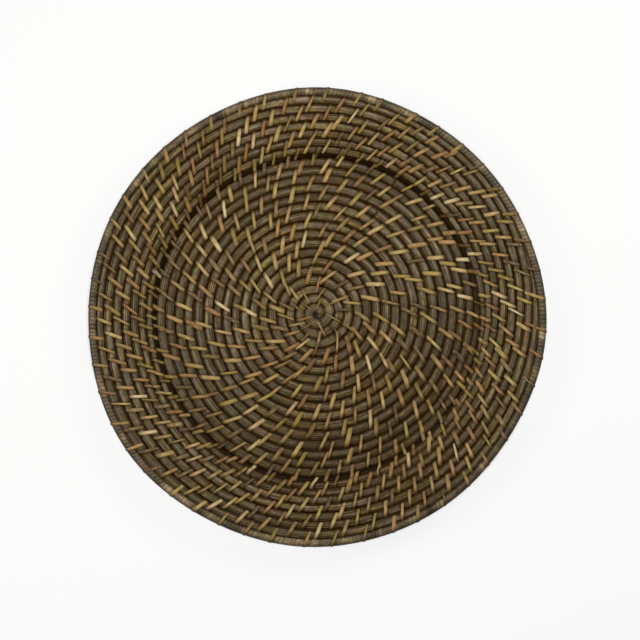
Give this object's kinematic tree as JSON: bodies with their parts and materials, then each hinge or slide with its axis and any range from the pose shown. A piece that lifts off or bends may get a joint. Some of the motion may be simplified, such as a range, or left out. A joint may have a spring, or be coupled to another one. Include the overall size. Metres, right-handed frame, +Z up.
{
  "type": "charger plate",
  "caption": "Round charger plate of coiled dark reed, each row tied to the next by slanting stitches of tan split cane, with a flat well, a short wall, a sloping rim and a wrapped edge.",
  "frame": {"origin": "middle of the outline, on the surface that the plate stands on", "axes": "+Z up out of the plate's face; +X to the right and +Y away in the picture, which looks straight down"},
  "size_m": [0.3303, 0.3304, 0.0262],
  "materials": {
    "reed": "dark stained reed, satin, fine lengthwise grain",
    "cane": "split cane, natural skin, satin sheen, uneven tan colour",
    "edge_strip": "dark stained split cane, worn on the turns"
  },
  "bodies": {
    "root": {"top_reed_1": "reed", "top_reed_2": "reed", "top_reed_3": "reed", "top_reed_4": "reed", "inner_reed_1": "reed", "inner_reed_2": "reed", "inner_reed_3": "reed", "inner_reed_4": "reed", "outer_reed_1": "reed", "outer_reed_2": "reed", "outer_reed_3": "reed", "outer_reed_4": "reed", "centre_lashing": "cane", "well_binding_1": "cane", "well_binding_2": "cane", "well_binding_3": "cane", "well_binding_4": "cane", "well_binding_5": "cane", "well_binding_6": "cane", "wall_binding_1": "cane", "wall_binding_2": "cane", "rim_binding_1": "cane", "rim_binding_2": "cane", "rim_binding_3": "cane", "rim_binding_4": "cane", "rim_binding_5": "cane", "rim_binding_6": "cane", "edge_binding_1": "cane", "edge_binding_2": "cane", "edge_reed": "reed", "edge_wrap_1": "edge_strip", "edge_wrap_2": "edge_strip", "edge_wrap_3": "edge_strip"}
  },
  "joints": []
}
